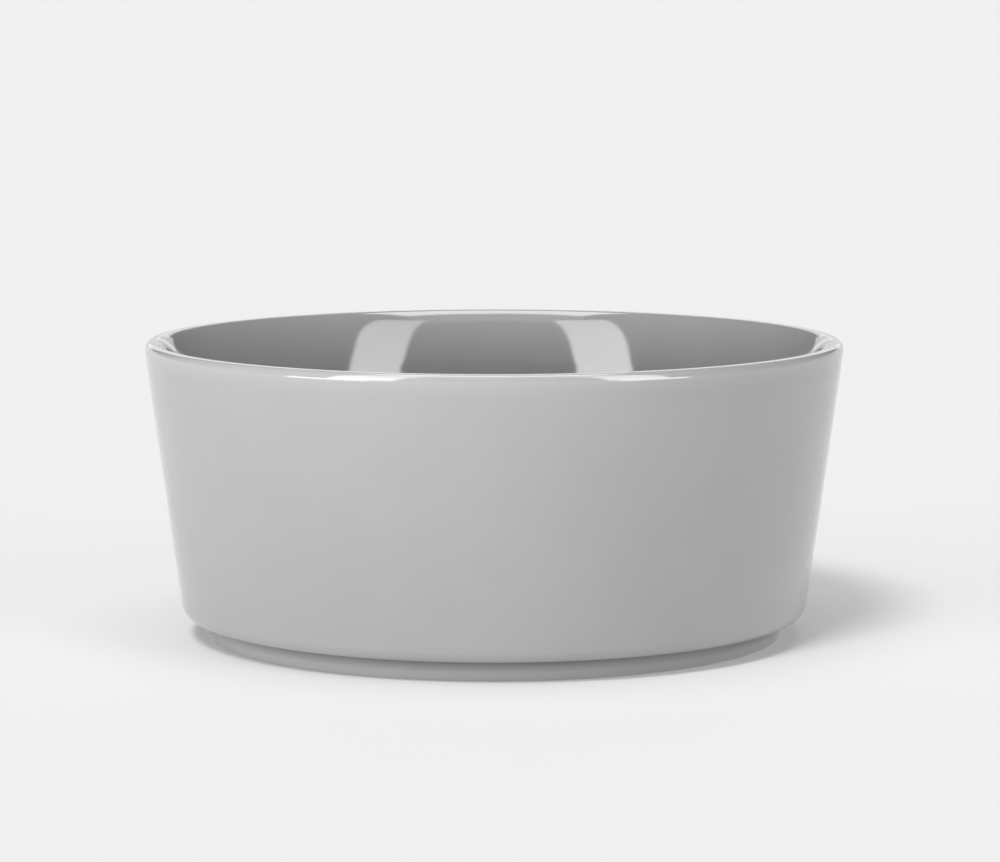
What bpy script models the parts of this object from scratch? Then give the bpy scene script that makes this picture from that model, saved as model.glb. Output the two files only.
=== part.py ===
"""A glazed ceramic bowl: wide and straight-sided, with a thick rounded rim and a low recessed foot.

The fired clay body carries two coats of glaze, and each coat is a piece of its own. The glaze coat
covers the inside, the rim and the outside, down to a line just above the bottom of the foot. The
underside glaze lines the shallow recess that the foot ring encloses. The bare ring of clay between
the two coats is what the bowl stands on.

Metres, +Z up, with the origin at the centre of the foot's contact face.
"""

import math

import bpy

# Overall size
HEIGHT = 0.070
RIM_DIAMETER = 0.165

# Wall and floor, measured on the glazed surfaces
WALL_SLOPE = math.tan(math.radians(7.76))
WALL_THICKNESS = 0.0073
FLOOR_THICKNESS = 0.0076
INNER_FILLET = 0.014

# Roundings of the rim and of the bottom edge, each as (width, height). The inside of the rim is a
# long soft curve, straighter along its middle than an ellipse, whose exponent would be 2.
INNER_LIP = (0.0044, 0.0134)
INNER_LIP_EXPONENT = 1.5
OUTER_LIP = (0.0015, 0.0026)
BOTTOM_EDGE = (0.0024, 0.0027)

# Foot ring, set back under the wall
LEDGE_HEIGHT = 0.0049
FOOT_TOP_RADIUS = 0.0696
FOOT_BOTTOM_RADIUS = 0.0679
FOOT_ROOT_FILLET = 0.0006
RECESS_RADIUS = 0.0620
RECESS_HEIGHT = 0.0034
RECESS_FILLET = 0.0020
CONTACT_CHAMFER = 0.0003

# Glaze, and the clearance that keeps it off the clay
GLAZE_THICKNESS = 0.0005
CLEARANCE = 0.0003
GLAZE_LINE_HEIGHT = 0.0004

# Worked out from the sizes above
FLOOR_TOP = RECESS_HEIGHT + FLOOR_THICKNESS
CLAY_DEPTH = GLAZE_THICKNESS + CLEARANCE
OUTER_RADIUS = RIM_DIAMETER / 2 + WALL_SLOPE * OUTER_LIP[1]
INNER_RADIUS = OUTER_RADIUS - WALL_THICKNESS

# Fineness of the turned shapes
TURN_STEPS = 64
ARC_STEPS = 4
INNER_LIP_STEPS = 6
MERGE_DISTANCE = 0.00001


def clear_scene():
    for thing in list(bpy.data.objects):
        bpy.data.objects.remove(thing)


def arc(centre, size, start, end, steps=ARC_STEPS, exponent=2.0):
    """Points on a rounding about centre, from one angle to another in degrees, 0 pointing outwards."""
    points = []
    for step in range(steps + 1):
        angle = math.radians(start + (end - start) * step / steps)
        across = math.copysign(abs(math.cos(angle)) ** (2 / exponent), math.cos(angle))
        up = math.copysign(abs(math.sin(angle)) ** (2 / exponent), math.sin(angle))
        points.append((centre[0] + size[0] * across, centre[1] + size[1] * up))
    return points


def shrunk(size, depth):
    return (size[0] - depth, size[1] - depth)


def lean(points):
    """Tips an upright section outwards, keeping its radius at the height of the rim's crest."""
    return [(radius - WALL_SLOPE * (HEIGHT - z), z) for radius, z in points]


def floor_fillet(depth):
    centre = (INNER_RADIUS - INNER_FILLET, FLOOR_TOP + INNER_FILLET)
    return arc(centre, (INNER_FILLET + depth, INNER_FILLET + depth), -90, 0)


def rim(depth):
    inner_centre = (INNER_RADIUS + INNER_LIP[0], HEIGHT - INNER_LIP[1])
    outer_centre = (OUTER_RADIUS - OUTER_LIP[0], HEIGHT - OUTER_LIP[1])
    inner_size = shrunk(INNER_LIP, depth)
    inner_side = arc(inner_centre, inner_size, 180, 90, INNER_LIP_STEPS, INNER_LIP_EXPONENT)
    outer_side = arc(outer_centre, shrunk(OUTER_LIP, depth), 90, 0)
    return inner_side + outer_side


def bottom_edge(depth):
    centre = (OUTER_RADIUS - BOTTOM_EDGE[0], LEDGE_HEIGHT + BOTTOM_EDGE[1])
    return arc(centre, shrunk(BOTTOM_EDGE, depth), 0, -90)


def foot_side(depth):
    radius = FOOT_ROOT_FILLET + depth
    centre = (FOOT_TOP_RADIUS + FOOT_ROOT_FILLET, LEDGE_HEIGHT - FOOT_ROOT_FILLET)
    root = arc(centre, (radius, radius), 90, 180)
    return root + [(FOOT_BOTTOM_RADIUS - depth, GLAZE_LINE_HEIGHT)]


def upper_outline(depth):
    """From the middle of the floor, up the inside, over the rim and down the outside to the glaze
    line on the foot. Depth is how far below the glazed surface the outline runs."""
    turned = lean(floor_fillet(depth) + rim(depth) + bottom_edge(depth))
    return [(0.0, FLOOR_TOP - depth)] + turned + foot_side(depth)


def recess_outline(depth):
    """From the glaze line inside the foot ring up to the recess's ceiling and in to its middle."""
    centre = (RECESS_RADIUS - RECESS_FILLET, RECESS_HEIGHT - RECESS_FILLET)
    radius = RECESS_FILLET + depth
    corner = arc(centre, (radius, radius), 0, 90)
    return [(RECESS_RADIUS + depth, GLAZE_LINE_HEIGHT)] + corner + [(0.0, RECESS_HEIGHT + depth)]


def contact_ring():
    """The flat bare underside of the foot, from its outer edge to its inner one."""
    outer = FOOT_BOTTOM_RADIUS - CLAY_DEPTH - CONTACT_CHAMFER
    inner = RECESS_RADIUS + CLAY_DEPTH + CONTACT_CHAMFER
    return [(outer, 0.0), (inner, 0.0)]


def make_material(name, colour, roughness, coat):
    material = bpy.data.materials.new(name)
    material.use_nodes = True
    shader = material.node_tree.nodes["Principled BSDF"]
    shader.inputs["Base Color"].default_value = (*colour, 1.0)
    shader.inputs["Metallic"].default_value = 0.0
    shader.inputs["Roughness"].default_value = roughness
    shader.inputs["Coat Weight"].default_value = coat
    return material


def make_turned(name, section, material, collection):
    """One closed body, turned from a section that runs down its outer side."""
    mesh = bpy.data.meshes.new(name)
    edges = [(index, index + 1) for index in range(len(section) - 1)]
    mesh.from_pydata([(radius, 0.0, z) for radius, z in section], edges, [])
    mesh.materials.append(material)
    turned = bpy.data.objects.new(name, mesh)
    collection.objects.link(turned)
    screw = turned.modifiers.new("turn", "SCREW")
    screw.axis = "Z"
    screw.angle = math.tau
    screw.steps = TURN_STEPS
    screw.render_steps = TURN_STEPS
    screw.use_merge_vertices = True
    screw.merge_threshold = MERGE_DISTANCE
    screw.use_smooth_shade = True
    return turned


def make_ceramic_body(collection):
    clay = make_material("bare_clay", (0.62, 0.60, 0.57), 0.75, 0.0)
    section = upper_outline(CLAY_DEPTH) + contact_ring() + recess_outline(CLAY_DEPTH)
    return make_turned("ceramic_body", section, clay, collection)


def make_glaze_coat(collection):
    glaze = make_material("grey_glaze", (0.43, 0.43, 0.43), 0.12, 1.0)
    section = upper_outline(0.0) + upper_outline(GLAZE_THICKNESS)[::-1]
    return make_turned("glaze_coat", section, glaze, collection)


def make_underside_glaze(collection):
    glaze = make_material("underside_glaze", (0.41, 0.41, 0.41), 0.2, 0.6)
    section = recess_outline(GLAZE_THICKNESS)[::-1] + recess_outline(0.0)
    return make_turned("underside_glaze", section, glaze, collection)


def build():
    clear_scene()
    collection = bpy.data.collections.new("glazed_ceramic_bowl")
    bpy.context.scene.collection.children.link(collection)
    make_ceramic_body(collection)
    make_glaze_coat(collection)
    make_underside_glaze(collection)


build()
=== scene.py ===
import math
from collections import namedtuple

import bpy
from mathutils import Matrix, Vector, noise


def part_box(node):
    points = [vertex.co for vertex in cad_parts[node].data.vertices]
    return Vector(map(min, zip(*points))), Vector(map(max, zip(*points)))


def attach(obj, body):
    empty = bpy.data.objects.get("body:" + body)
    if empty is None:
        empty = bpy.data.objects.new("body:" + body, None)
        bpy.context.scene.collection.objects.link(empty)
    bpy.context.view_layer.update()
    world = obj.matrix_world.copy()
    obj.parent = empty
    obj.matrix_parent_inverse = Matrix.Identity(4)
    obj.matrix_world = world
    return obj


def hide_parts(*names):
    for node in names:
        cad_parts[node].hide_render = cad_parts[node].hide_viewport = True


# The finished look of a wide, straight-sided bowl in glossy grey glaze, on a pale studio floor. One
# coat of glaze covers the inside, the rim and the outside, another lines the recess under the bowl,
# and bare clay shows between them on the foot ring. Metres, +Z up, with the bowl's axis along Z.

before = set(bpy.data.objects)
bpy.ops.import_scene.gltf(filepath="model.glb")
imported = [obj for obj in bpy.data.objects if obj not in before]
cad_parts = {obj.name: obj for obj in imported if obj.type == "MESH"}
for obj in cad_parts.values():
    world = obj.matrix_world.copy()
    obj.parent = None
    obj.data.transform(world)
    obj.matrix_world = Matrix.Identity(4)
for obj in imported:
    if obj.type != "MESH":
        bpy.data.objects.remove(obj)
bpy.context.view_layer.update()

MM = 0.001

# ---- Sizes ----------------------------------------------------------------------------------------

# How far inside the CAD model's box the finished surface stays, so that its waves never leave the box
MARGIN = 0.03 * MM

# The bowl, measured on the glazed surfaces. Its overall sizes come from the frame. A rounding is
# given as (width, height), or as one radius.
BOWL_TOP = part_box("glaze_coat")[1].z - MARGIN
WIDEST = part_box("glaze_coat")[1].x - MARGIN
WALL_SLOPE = math.tan(math.radians(7.76))
WALL_THICKNESS = 7.3 * MM
FLOOR_TOP = 11.0 * MM
INNER_FILLET = 14.0 * MM
INNER_LIP = (4.4 * MM, 13.4 * MM)
INNER_LIP_EXPONENT = 1.5
OUTER_LIP = (1.5 * MM, 2.6 * MM)
BOTTOM_EDGE = (2.4 * MM, 2.7 * MM)
LEDGE_HEIGHT = 4.9 * MM
FOOT_TOP_RADIUS = 69.6 * MM
FOOT_BOTTOM_RADIUS = 67.9 * MM
FOOT_ROOT_FILLET = 0.6 * MM
RECESS_RADIUS = 62.0 * MM
RECESS_HEIGHT = 3.4 * MM
RECESS_FILLET = 2.0 * MM
CONTACT_CHAMFER = 0.3 * MM

# Glaze, the rolled edge that it ends in, and how deep the clay lies under the glazed surface
GLAZE_THICKNESS = 0.5 * MM
GLAZE_LINE = 0.15 * MM
ROLLED_EDGE = 0.3 * MM
CLAY_DEPTH = 0.52 * MM

# The rim's outside leans, so its widest point lies a little below the crest and a little further out
LIP_LEAN = WALL_SLOPE * OUTER_LIP[1]
OUTER_RADIUS = WIDEST + LIP_LEAN + OUTER_LIP[0] - math.hypot(OUTER_LIP[0], LIP_LEAN)
INNER_RADIUS = OUTER_RADIUS - WALL_THICKNESS

# Unevenness of the fired surfaces, each as (height, length, offset into the noise)
BROAD_WAVES = (0.016 * MM, 24 * MM, 0.0)
SMALL_WAVES = (0.010 * MM, 7 * MM, 7.3)
EDGE_WANDER = (0.12 * MM, 9 * MM, 3.1)
CLAY_GRAIN = (0.03 * MM, 1.5 * MM, 1.7)

# How far up from its lower edge a coat of glaze wanders with it
EDGE_REACH = 2.0 * MM

# How far from a hollow the glaze is still deeper and darker, with painted shade, and from the turn of
# the rim still thinner and paler, with a painted highlight. The turn of a rounding lies about this
# share of its size in from its corner.
POOL_SHADE_REACH = 3.0 * MM
THIN_SHEEN_REACH = 2.8 * MM
TURN_SHARE = 0.3

# Fineness of the turned meshes: steps round the axis, and steps along each stretch of an outline.
# Each outline multiplies most of the second kind by a fineness of its own.
TURN_STEPS = 256
FLOOR_STEPS = 5
INNER_FILLET_STEPS = 4
INNER_WALL_STEPS = 3
INNER_LIP_STEPS = 12
CREST_STEPS = 1
OUTER_LIP_STEPS = 6
OUTER_WALL_STEPS = 6
BOTTOM_EDGE_STEPS = 4
LEDGE_STEPS = 1
FOOT_ROOT_STEPS = 2
FOOT_SIDE_STEPS = 5
RECESS_SIDE_STEPS = 2
RECESS_FILLET_STEPS = 4
RECESS_CEILING_STEPS = 5
ROLLED_EDGE_STEPS = 10
CONTACT_STEPS = 16
CHAMFER_STEPS = 2
SKIN_FINENESS = 4
RECESS_FINENESS = 3
CLAY_FINENESS = 2
HIDDEN_FINENESS = 1

# ---- Looks ----------------------------------------------------------------------------------------

# Noise hardly leaves this range
NOISE_LOW = 0.3
NOISE_HIGH = 0.7

# Glaze: its grey, and the shares of it where the glaze clouds, where it is paler over the rim (thin
# glaze and a painted highlight), and where it is darker in the hollows (pooled glaze and painted
# shade)
GLAZE_GREY = 0.24
GLAZE_IOR = 1.70
CLOUDED = (0.985, 1.015)
THINNED_SHEEN = 1.17
POOLED_SHADE = 0.3

# The glaze's patches: cloudy tone, the breaking up of the thin layer over the rim and of its painted
# highlight, uneven gloss and orange peel
CLOUD_LENGTH = 22 * MM
BROKEN_LENGTH = 1.2 * MM
BROKEN_SHARES = (0.85, 1.0)
GLOSS_LENGTH = 9 * MM
GLOSS_SPREAD = 1.4
PEEL_LENGTH = 1.6 * MM

# Roughness and height of the orange peel, on the skin and in the recess
SKIN_FINISH = (0.05, 0.002 * MM)
RECESS_FINISH = (0.12, 0.006 * MM)

# Bare clay: a sandy grain from deep to pale, darker specks, and rings left by grinding
CLAY_DEEP = (0.50, 0.48, 0.45, 1.0)
CLAY_PALE = (0.66, 0.64, 0.60, 1.0)
CLAY_SPECK = (0.30, 0.28, 0.26, 1.0)
CLAY_ROUGHNESS = 0.8
GRAIN_LENGTH = 0.5 * MM
GRAIN_HEIGHT = 0.03 * MM
SPECK_LENGTH = 0.8 * MM
SPECK_RANGE = (0.68, 0.74)
GRINDING_LENGTH = 0.12 * MM
GRINDING_HEIGHT = 0.01 * MM

# ---- Studio sizes and light -----------------------------------------------------------------------
# Directions are an azimuth and an elevation in degrees. Azimuth 0 is towards the camera, and
# positive is to the camera's right.

FLOOR_SIZE = 40.0
FLOOR_ALBEDO = 0.25
FLOOR_GLOW = 0.285

# The light that gives the floor the bowl's shadow: its direction, how wide it looks, its strength
SUN_AZIMUTH = -22
SUN_ELEVATION = 52
SUN_SPREAD = 16
SUN_STRENGTH = 4.6

# Even light along the horizon. It starts to fade at one elevation and is gone at the other.
HORIZON_LIGHT = 0.863
HORIZON_TOP = math.sin(math.radians(6.5))
HORIZON_FADE = math.sin(math.radians(9))

# Glowing panels, far off: the direction of the middle, half the width, the bottom and the top as
# tangents of the angles from the middle, and the light at the bottom and at the top
Panel = namedtuple("Panel", "azimuth elevation half_width bottom top low_light high_light")
PANELS = (
    Panel(0, 88, 0.40, -0.26, 0.24, 5.3, 5.8),               # lamp overhead
    Panel(0, 65, 0.40, -0.18, 0.18, 0.65, 0.8),              # dim strip in front of it
    Panel(180, 14, 0.36, -0.13, 0.00, 1.0, 1.2),             # backdrop, just above the horizon
    Panel(180, 40, 0.32, -0.50, 0.35, 1.3, 1.3),             # backdrop, further up
    Panel(47.2, 9.4, 0.185, -0.04, 1.014, 5.8, 2.6),         # right soft box
    Panel(53.0, 9.4, 0.22, -0.17, -0.04, 6.0, 5.8),          # its lower end, turned outwards
    Panel(-43.5, 9.4, 0.199, -0.04, 1.041, 6.5, 3.1),        # left soft box
    Panel(-55.4, 9.4, 0.26, -0.17, -0.04, 6.7, 6.5),         # its lower end, turned outwards
)

# How softly a panel's edges end, as a tangent. It shows only in directions that point its way, and
# fades in where their cosine to its middle goes from 0 to the second number.
PANEL_EDGE = 0.02
PANEL_FRONT = 0.05

# Bright stretches of floor in front of the bowl: middle, size and light
BOUNCES = {
    "bounce_left": ((-0.45, -0.56, 0.001), (0.5, 0.58), 9.6),
    "bounce_middle": ((0.0, -0.56, 0.001), (0.4, 0.58), 2.5),
}

# Pale cards round the bowl, all of one size and at one elevation and distance: azimuth and light
CARD_SIZE = (0.8, 0.2)
CARD_ELEVATION = 6
CARD_DISTANCE = 1.0
CARDS = {
    "card_left": (-58, 13.0),
    "card_front": (0, 1.1),
    "card_right": (70, 5.4),
}

# Camera: where it stands, how far it looks down, and its lens and sensor in millimetres
CAMERA_PLACE = (0.00136, -0.9453, 0.16007)
CAMERA_PITCH = math.radians(6.757)
CAMERA_LENS = 144.235
SENSOR_WIDTH = 36.0


# ---- Outlines -------------------------------------------------------------------------------------
# An outline is a list of (radius, height) pairs. It runs with the material on its right-hand side.

def arc(centre, size, start, end, steps, exponent=2.0):
    """Points on a rounding about centre, from one angle to another in degrees, 0 pointing outwards."""
    points = []
    for step in range(steps + 1):
        angle = math.radians(start + (end - start) * step / steps)
        across = math.copysign(abs(math.cos(angle)) ** (2 / exponent), math.cos(angle))
        up = math.copysign(abs(math.sin(angle)) ** (2 / exponent), math.sin(angle))
        points.append((centre[0] + size[0] * across, centre[1] + size[1] * up))
    return points


def straight(start, end, steps):
    """Points along a straight run, without its two ends."""
    points = []
    for step in range(1, steps):
        share = step / steps
        radius = start[0] + (end[0] - start[0]) * share
        points.append((radius, start[1] + (end[1] - start[1]) * share))
    return points


def joined(steps, *stretches):
    """Stretches of outline one after another, with straight runs of that many steps between them."""
    points = list(stretches[0])
    for stretch in stretches[1:]:
        points += straight(points[-1], stretch[0], steps) + list(stretch)
    return points


def lean(points):
    """Tips an upright outline outwards, keeping its radius at the height of the rim's crest."""
    return [(radius - WALL_SLOPE * (BOWL_TOP - z), z) for radius, z in points]


def shrunk(size, depth):
    return (size[0] - depth, size[1] - depth)


def floor_fillet(depth, fineness):
    centre = (INNER_RADIUS - INNER_FILLET, FLOOR_TOP + INNER_FILLET)
    radius = INNER_FILLET + depth
    return arc(centre, (radius, radius), -90, 0, INNER_FILLET_STEPS * fineness)


def rim(depth, fineness):
    inner_centre = (INNER_RADIUS + INNER_LIP[0], BOWL_TOP - INNER_LIP[1])
    outer_centre = (OUTER_RADIUS - OUTER_LIP[0], BOWL_TOP - OUTER_LIP[1])
    inner_steps = INNER_LIP_STEPS * fineness
    inner = arc(inner_centre, shrunk(INNER_LIP, depth), 180, 90, inner_steps, INNER_LIP_EXPONENT)
    outer = arc(outer_centre, shrunk(OUTER_LIP, depth), 90, 0, OUTER_LIP_STEPS * fineness)
    return joined(CREST_STEPS * fineness, inner, outer)


def bottom_edge(depth, fineness):
    centre = (OUTER_RADIUS - BOTTOM_EDGE[0], LEDGE_HEIGHT + BOTTOM_EDGE[1])
    return arc(centre, shrunk(BOTTOM_EDGE, depth), 0, -90, BOTTOM_EDGE_STEPS * fineness)


def foot_root(depth, fineness):
    centre = (FOOT_TOP_RADIUS + FOOT_ROOT_FILLET, LEDGE_HEIGHT - FOOT_ROOT_FILLET)
    radius = FOOT_ROOT_FILLET + depth
    return arc(centre, (radius, radius), 90, 180, FOOT_ROOT_STEPS * fineness)


def bowl_outline(depth, fineness):
    """From the middle of the floor, up the inside, over the rim, down the outside and under it to
    the foot, depth below the glazed surface."""
    inside = joined(INNER_WALL_STEPS * fineness, floor_fillet(depth, fineness), rim(depth, fineness))
    wall = lean(joined(OUTER_WALL_STEPS * fineness, inside, bottom_edge(depth, fineness)))
    floor_and_wall = joined(FLOOR_STEPS * fineness, [(0.0, FLOOR_TOP - depth)], wall)
    return joined(LEDGE_STEPS * fineness, floor_and_wall, foot_root(depth, fineness))


def recess_outline(depth, fineness):
    """From the inner side of the foot ring up to the recess's ceiling and in to its middle."""
    centre = (RECESS_RADIUS - RECESS_FILLET, RECESS_HEIGHT - RECESS_FILLET)
    radius = RECESS_FILLET + depth
    corner = arc(centre, (radius, radius), 0, 90, RECESS_FILLET_STEPS * fineness)
    return joined(RECESS_CEILING_STEPS * fineness, corner, [(0.0, RECESS_HEIGHT + depth)])


def rolled_edge(outer_radius):
    """The rounded edge that a coat of glaze ends in, from its outer side to its inner one."""
    centre = (outer_radius - ROLLED_EDGE, GLAZE_LINE + ROLLED_EDGE)
    return arc(centre, (ROLLED_EDGE, ROLLED_EDGE), 0, -180, ROLLED_EDGE_STEPS)


def contact_ring():
    """The bare underside of the foot, with its two small chamfers."""
    outer = FOOT_BOTTOM_RADIUS - CLAY_DEPTH
    inner = RECESS_RADIUS + CLAY_DEPTH
    flat_start = [(outer - CONTACT_CHAMFER, 0.0)]
    flat_end = [(inner + CONTACT_CHAMFER, 0.0)]
    flat = joined(CONTACT_STEPS, flat_start, flat_end)
    return joined(CHAMFER_STEPS, [(outer, CONTACT_CHAMFER)], flat, [(inner, CONTACT_CHAMFER)])


# ---- Surface relief -------------------------------------------------------------------------------

def swell(place, waves):
    """The height of a field of waves at a place."""
    height, length, offset = waves
    return height * noise.noise(place / length + Vector((offset, offset, offset)))


def glaze_relief(place, normal):
    """The glaze's slow waves, and the wandering of its lower edge."""
    wave = swell(place, BROAD_WAVES) + swell(place, SMALL_WAVES)
    around = Vector((place.x, place.y, 0.0))
    near_edge = max(0.0, 1.0 - max(0.0, place.z - GLAZE_LINE) / EDGE_REACH)
    drop = swell(around, EDGE_WANDER) * near_edge
    return place + normal * wave + Vector((0.0, 0.0, drop))


def clay_relief(place, normal):
    """The grain of bare clay, which only takes material away."""
    return place - normal * abs(swell(place, CLAY_GRAIN))


# ---- Glaze depth, with painted shade and painted highlight ----------------------------------------

LIP_TURN = (OUTER_RADIUS - TURN_SHARE * OUTER_LIP[0], BOWL_TOP - TURN_SHARE * OUTER_LIP[1])
RIM_TURN = lean([LIP_TURN])[0]
FOOT_ROOT = (FOOT_TOP_RADIUS, LEDGE_HEIGHT)
RECESS_CORNER = (RECESS_RADIUS, RECESS_HEIGHT)


def closeness(point, place, reach):
    """1 at a place on the section, and 0 from reach away."""
    return max(0.0, 1.0 - math.dist(point, place) / reach)


def glaze_depth_and_painted_light(point):
    """Above 0 in a hollow, where the melt pools and the material paints shade; below 0 at the turn of
    the rim, where the glaze thins and the material paints a highlight.
    """
    pooled_shade = closeness(point, FOOT_ROOT, POOL_SHADE_REACH) + closeness(point, RECESS_CORNER, POOL_SHADE_REACH)
    return pooled_shade - closeness(point, RIM_TURN, THIN_SHEEN_REACH)


# ---- Meshes ---------------------------------------------------------------------------------------

def section_normals(section):
    """The outward direction at each point of a section, square to its neighbours."""
    normals = []
    for index in range(len(section)):
        before = section[max(index - 1, 0)]
        after = section[min(index + 1, len(section) - 1)]
        along = Vector((after[0] - before[0], after[1] - before[1]))
        normals.append(Vector((-along.y, along.x)).normalized())
    return normals


def turned_piece(name, section, material, relief):
    """A closed body turned about the axis from a section whose two ends lie on it."""
    points = []
    depths_and_painted_light = []
    rings = []
    for (radius, z), normal in zip(section, section_normals(section)):
        steps = TURN_STEPS if radius > 0.0 else 1
        rings.append([len(points) + step % steps for step in range(TURN_STEPS + 1)])
        for step in range(steps):
            angle = math.tau * step / TURN_STEPS
            outwards = Vector((math.cos(angle), math.sin(angle), 0.0))
            place = outwards * radius + Vector((0.0, 0.0, z))
            facing = outwards * normal.x + Vector((0.0, 0.0, normal.y))
            if radius == 0.0:
                facing = Vector((0.0, 0.0, math.copysign(1.0, normal.y)))
            points.append(relief(place, facing))
            depths_and_painted_light.append(glaze_depth_and_painted_light((radius, z)))
    faces = []
    for ring, following in zip(rings, rings[1:]):
        for step in range(TURN_STEPS):
            corners = (ring[step], following[step], following[step + 1], ring[step + 1])
            faces.append(tuple(dict.fromkeys(corners)))    # three corners where a face meets the axis
    mesh = bpy.data.meshes.new(name)
    mesh.from_pydata(points, [], faces)
    mesh.validate()
    mesh.shade_smooth()
    mesh.materials.append(material)
    # Per point: above 0 where the glaze pools and shade is painted, below 0 where it thins over the
    # rim and a highlight is painted
    depth = mesh.attributes.new("glaze_depth_and_painted_light", "FLOAT", "POINT")
    depth.data.foreach_set("value", depths_and_painted_light)
    piece = bpy.data.objects.new(name, mesh)
    bpy.context.scene.collection.objects.link(piece)
    return piece


def make_glaze_skin(material):
    # The roll is thicker than the coat, so it stands out a little from the foot's side
    edge = rolled_edge(FOOT_BOTTOM_RADIUS - GLAZE_THICKNESS + 2 * ROLLED_EDGE)
    shown = joined(FOOT_SIDE_STEPS, bowl_outline(0.0, SKIN_FINENESS), edge)
    hidden = bowl_outline(GLAZE_THICKNESS, HIDDEN_FINENESS)[::-1]
    return turned_piece("glaze_skin", shown + hidden, material, glaze_relief)


def make_recess_glaze(material):
    edge = rolled_edge(RECESS_RADIUS + GLAZE_THICKNESS)
    hidden = recess_outline(GLAZE_THICKNESS, HIDDEN_FINENESS)[::-1]
    shown = joined(RECESS_SIDE_STEPS, edge, recess_outline(0.0, RECESS_FINENESS))
    return turned_piece("recess_glaze", hidden + shown, material, glaze_relief)


def make_clay_body(material):
    outside = bowl_outline(CLAY_DEPTH, CLAY_FINENESS)
    section = outside + contact_ring() + recess_outline(CLAY_DEPTH, CLAY_FINENESS)
    return turned_piece("clay_body", section, material, clay_relief)


# ---- Materials ------------------------------------------------------------------------------------

class Nodes:
    """Short names for the nodes that the materials and the sky are drawn with."""

    def __init__(self, tree):
        self.tree = tree

    def add(self, kind, **settings):
        node = self.tree.nodes.new(kind)
        for name, value in settings.items():
            setattr(node, name, value)
        return node

    def put(self, socket, value):
        """Links a node's output to a socket, or sets the socket to a plain value."""
        if isinstance(value, bpy.types.NodeSocket):
            self.tree.links.new(value, socket)
        else:
            socket.default_value = value

    def maths(self, operation, *values):
        node = self.add("ShaderNodeMath", operation=operation)
        for socket, value in zip(node.inputs, values):
            self.put(socket, value)
        return node.outputs[0]

    def dot(self, one, other):
        node = self.add("ShaderNodeVectorMath", operation="DOT_PRODUCT")
        self.put(node.inputs[0], one)
        self.put(node.inputs[1], other)
        return node.outputs["Value"]

    def from_axis(self, place):
        """How far a place is from the Z axis, as a vector along X."""
        flat = self.add("ShaderNodeVectorMath", operation="MULTIPLY")
        self.put(flat.inputs[0], place)
        flat.inputs[1].default_value = (1.0, 1.0, 0.0)
        radius = self.add("ShaderNodeVectorMath", operation="LENGTH")
        self.put(radius.inputs[0], flat.outputs["Vector"])
        along_x = self.add("ShaderNodeCombineXYZ")
        self.put(along_x.inputs["X"], radius.outputs["Value"])
        return along_x.outputs["Vector"]

    def ramp(self, value, low, high, to_low=0.0, to_high=1.0, kind="SMOOTHSTEP"):
        """to_low below low, to_high above high, and smooth between them."""
        node = self.add("ShaderNodeMapRange", interpolation_type=kind)
        self.put(node.inputs["Value"], value)
        node.inputs["From Min"].default_value = low
        node.inputs["From Max"].default_value = high
        node.inputs["To Min"].default_value = to_low
        node.inputs["To Max"].default_value = to_high
        return node.outputs["Result"]

    def noise(self, place, length, detail=2.0, roughness=0.5):
        """Noise from 0 to 1 whose patches are about that long, in metres."""
        node = self.add("ShaderNodeTexNoise")
        self.put(node.inputs["Vector"], place)
        node.inputs["Scale"].default_value = 1.0 / length
        node.inputs["Detail"].default_value = detail
        node.inputs["Roughness"].default_value = roughness
        return node.outputs["Fac"]

    def patches(self, place, length, low=0.0, high=1.0, detail=2.0):
        """Soft patches about that long, whose value runs from low to high."""
        return self.ramp(self.noise(place, length, detail), NOISE_LOW, NOISE_HIGH, low, high)

    def mix(self, share, low, high):
        node = self.add("ShaderNodeMix", data_type="RGBA")
        self.put(node.inputs["Factor"], share)
        self.put(node.inputs["A"], low)
        self.put(node.inputs["B"], high)
        return node.outputs["Result"]

    def bump(self, height, distance, normal=None):
        node = self.add("ShaderNodeBump")
        self.put(node.inputs["Height"], height)
        node.inputs["Distance"].default_value = distance
        if normal is not None:
            self.put(node.inputs["Normal"], normal)
        return node.outputs["Normal"]


def new_material(name):
    """A material, its nodes, and the inputs of the shader that it ends in."""
    material = bpy.data.materials.new(name)
    material.use_nodes = True
    return material, Nodes(material.node_tree), material.node_tree.nodes["Principled BSDF"].inputs


def grey(value):
    return (value, value, value, 1.0)


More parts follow.
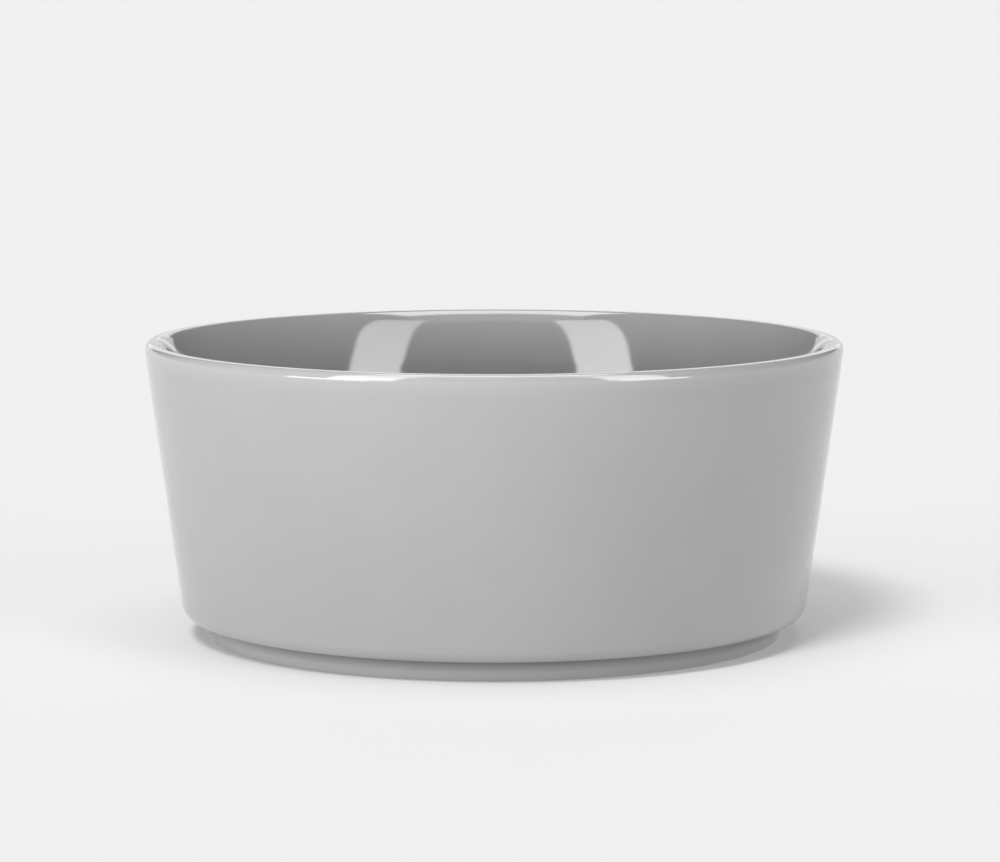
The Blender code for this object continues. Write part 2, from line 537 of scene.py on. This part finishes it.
def glaze_material(name, finish):
    """Opaque grey glaze: a little uneven in tone, paler where it thins over the rim, with a painted
    highlight there, and darker where it pools in the hollows, with painted shade there.
    """
    roughness, peel_height = finish
    material, n, surface = new_material(name)
    place = n.add("ShaderNodeTexCoord").outputs["Object"]
    depth = n.add("ShaderNodeAttribute", attribute_name="glaze_depth_and_painted_light").outputs["Fac"]
    cloud = n.patches(place, CLOUD_LENGTH, detail=3.0)
    broken = n.patches(place, BROKEN_LENGTH, *BROKEN_SHARES, detail=3.0)
    # Paler over the turn of the rim: thinner glaze, and a painted highlight that stands in for the
    # lip's reflection
    thinness_and_sheen = n.maths("MAXIMUM", n.maths("MULTIPLY", depth, -1.0), 0.0)
    thin_sheen = n.maths("MULTIPLY", thinness_and_sheen, broken)
    # Darker in the hollows: pooled glaze, and painted shade where the foot meets the bowl and in the
    # recess's corner
    pooled_shade = n.maths("MAXIMUM", depth, 0.0)
    colour = n.mix(cloud, grey(GLAZE_GREY * CLOUDED[0]), grey(GLAZE_GREY * CLOUDED[1]))
    colour = n.mix(thin_sheen, colour, grey(GLAZE_GREY * THINNED_SHEEN))
    colour = n.mix(pooled_shade, colour, grey(GLAZE_GREY * POOLED_SHADE))
    n.put(surface["Base Color"], colour)
    n.put(surface["Roughness"], n.patches(place, GLOSS_LENGTH, roughness, roughness * GLOSS_SPREAD))
    surface["IOR"].default_value = GLAZE_IOR
    n.put(surface["Normal"], n.bump(n.noise(place, PEEL_LENGTH, detail=1.0), peel_height))
    return material


def clay_material():
    """Bare fired clay: a sandy grain with darker specks, ground along the ring."""
    material, n, surface = new_material("bare_clay")
    place = n.add("ShaderNodeTexCoord").outputs["Object"]
    grain = n.noise(place, GRAIN_LENGTH, detail=4.0, roughness=0.6)
    specks = n.ramp(n.noise(place, SPECK_LENGTH, detail=1.0), *SPECK_RANGE)
    colour = n.mix(specks, n.mix(grain, CLAY_DEEP, CLAY_PALE), CLAY_SPECK)
    n.put(surface["Base Color"], colour)
    surface["Roughness"].default_value = CLAY_ROUGHNESS
    rings = n.bump(n.noise(n.from_axis(place), GRINDING_LENGTH), GRINDING_HEIGHT)
    n.put(surface["Normal"], n.bump(grain, GRAIN_HEIGHT, rings))
    return material


# ---- Studio ---------------------------------------------------------------------------------------

def make_floor():
    bpy.ops.mesh.primitive_plane_add(size=FLOOR_SIZE)
    floor = bpy.context.object
    floor.name = "floor"
    material, _, surface = new_material("pale_floor")
    surface["Base Color"].default_value = grey(FLOOR_ALBEDO)
    surface["Roughness"].default_value = 1.0
    surface["Specular IOR Level"].default_value = 0.0
    surface["Emission Color"].default_value = grey(1.0)
    surface["Emission Strength"].default_value = FLOOR_GLOW
    floor.data.materials.append(material)
    return floor


def heading(azimuth, elevation):
    """The unit vector that points from the bowl in that direction."""
    a = math.radians(azimuth)
    e = math.radians(elevation)
    return Vector((math.sin(a) * math.cos(e), -math.cos(a) * math.cos(e), math.sin(e)))


def softbox(n, direction, panel):
    """How bright one panel looks in a direction. Its light fades evenly from bottom to top."""
    centre = heading(panel.azimuth, panel.elevation)
    side = heading(panel.azimuth + 90, 0)
    up = centre.cross(side)
    facing = n.dot(direction, tuple(centre))
    ahead = n.maths("MAXIMUM", facing, 0.001)    # never 0, as it divides
    across = n.maths("ABSOLUTE", n.maths("DIVIDE", n.dot(direction, tuple(side)), ahead))
    height = n.maths("DIVIDE", n.dot(direction, tuple(up)), ahead)
    width, bottom, top = panel.half_width, panel.bottom, panel.top
    light = n.ramp(height, bottom, top, panel.low_light, panel.high_light, "LINEAR")
    within = (
        n.ramp(across, width - PANEL_EDGE, width + PANEL_EDGE, 1.0, 0.0),
        n.ramp(height, bottom - PANEL_EDGE, bottom + PANEL_EDGE),
        n.ramp(height, top - PANEL_EDGE, top + PANEL_EDGE, 1.0, 0.0),
        n.ramp(facing, 0.0, PANEL_FRONT),
    )
    for share in within:
        light = n.maths("MULTIPLY", light, share)
    return light


def make_sky():
    """A dark studio with a bright horizon, which the floor runs into, and the panels that light it."""
    world = bpy.data.worlds.new("studio")
    bpy.context.scene.world = world
    world.use_nodes = True
    world.node_tree.nodes.clear()
    n = Nodes(world.node_tree)
    direction = n.add("ShaderNodeTexCoord").outputs["Generated"]
    background = n.add("ShaderNodeBackground")
    background.inputs["Color"].default_value = grey(1.0)
    output = n.add("ShaderNodeOutputWorld")
    n.put(output.inputs["Surface"], background.outputs["Background"])
    rise = n.dot(direction, (0.0, 0.0, 1.0))
    light = n.ramp(rise, HORIZON_TOP, HORIZON_FADE, HORIZON_LIGHT, 0.0)
    for panel in PANELS:
        light = n.maths("ADD", light, softbox(n, direction, panel))
    n.put(background.inputs["Strength"], light)


def lit_group(name, things):
    """The things that a light falls on, for a light that leaves the rest alone."""
    group = bpy.data.collections.new(name)
    for thing in things:
        group.objects.link(thing)
    return group


def shining_from(direction):
    """The rotation of a light that shines at the bowl from that direction."""
    return direction.to_track_quat("Z", "Y").to_euler()


def make_floor_light(floor):
    """A wide soft light that falls on the floor alone and gives it the bowl's shadow."""
    data = bpy.data.lights.new("floor_light", "SUN")
    data.angle = math.radians(SUN_SPREAD)
    data.energy = SUN_STRENGTH
    light = bpy.data.objects.new("floor_light", data)
    light.rotation_euler = shining_from(heading(SUN_AZIMUTH, SUN_ELEVATION))
    bpy.context.scene.collection.objects.link(light)
    light.light_linking.receiver_collection = lit_group("lit_by_floor_light", [floor])


def make_glow(name, place, rotation, size, radiance):
    """A glowing rectangle that is neither seen nor mirrored, and only fills in the shade."""
    data = bpy.data.lights.new(name, "AREA")
    data.shape = "RECTANGLE"
    data.size, data.size_y = size
    data.energy = radiance * math.pi * data.size * data.size_y
    glow = bpy.data.objects.new(name, data)
    glow.location = place
    glow.rotation_euler = rotation
    glow.visible_camera = False
    glow.visible_glossy = False
    bpy.context.scene.collection.objects.link(glow)
    return glow


def make_bounces():
    """Light thrown up by the bright stretches of floor, which lie outside the picture."""
    shining_up = (math.pi, 0.0, 0.0)
    for name, (middle, size, light) in BOUNCES.items():
        make_glow(name, middle, shining_up, size, light)


def make_cards(pieces):
    """The pale cards, whose light falls on the bowl alone."""
    lit = lit_group("lit_by_cards", pieces)
    for name, (azimuth, light) in CARDS.items():
        towards = heading(azimuth, CARD_ELEVATION)
        card = make_glow(name, towards * CARD_DISTANCE, shining_from(towards), CARD_SIZE, light)
        card.light_linking.receiver_collection = lit


def make_camera():
    data = bpy.data.cameras.new("camera")
    data.sensor_width = SENSOR_WIDTH
    data.lens = CAMERA_LENS
    camera = bpy.data.objects.new("camera", data)
    bpy.context.scene.collection.objects.link(camera)
    camera.location = CAMERA_PLACE
    camera.rotation_euler = (math.radians(90) - CAMERA_PITCH, 0.0, 0.0)
    bpy.context.scene.camera = camera


# ---- Build ----------------------------------------------------------------------------------------

glaze_skin = make_glaze_skin(glaze_material("grey_glaze", SKIN_FINISH))
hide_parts("glaze_coat")

recess_glaze = make_recess_glaze(glaze_material("underside_glaze", RECESS_FINISH))
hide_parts("underside_glaze")

clay_body = make_clay_body(clay_material())
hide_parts("ceramic_body")

for piece in (glaze_skin, recess_glaze, clay_body):
    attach(piece, "root")

floor = make_floor()
make_sky()
make_floor_light(floor)
make_bounces()
make_cards([glaze_skin, recess_glaze, clay_body])
make_camera()
bpy.context.scene.view_settings.view_transform = "Standard"
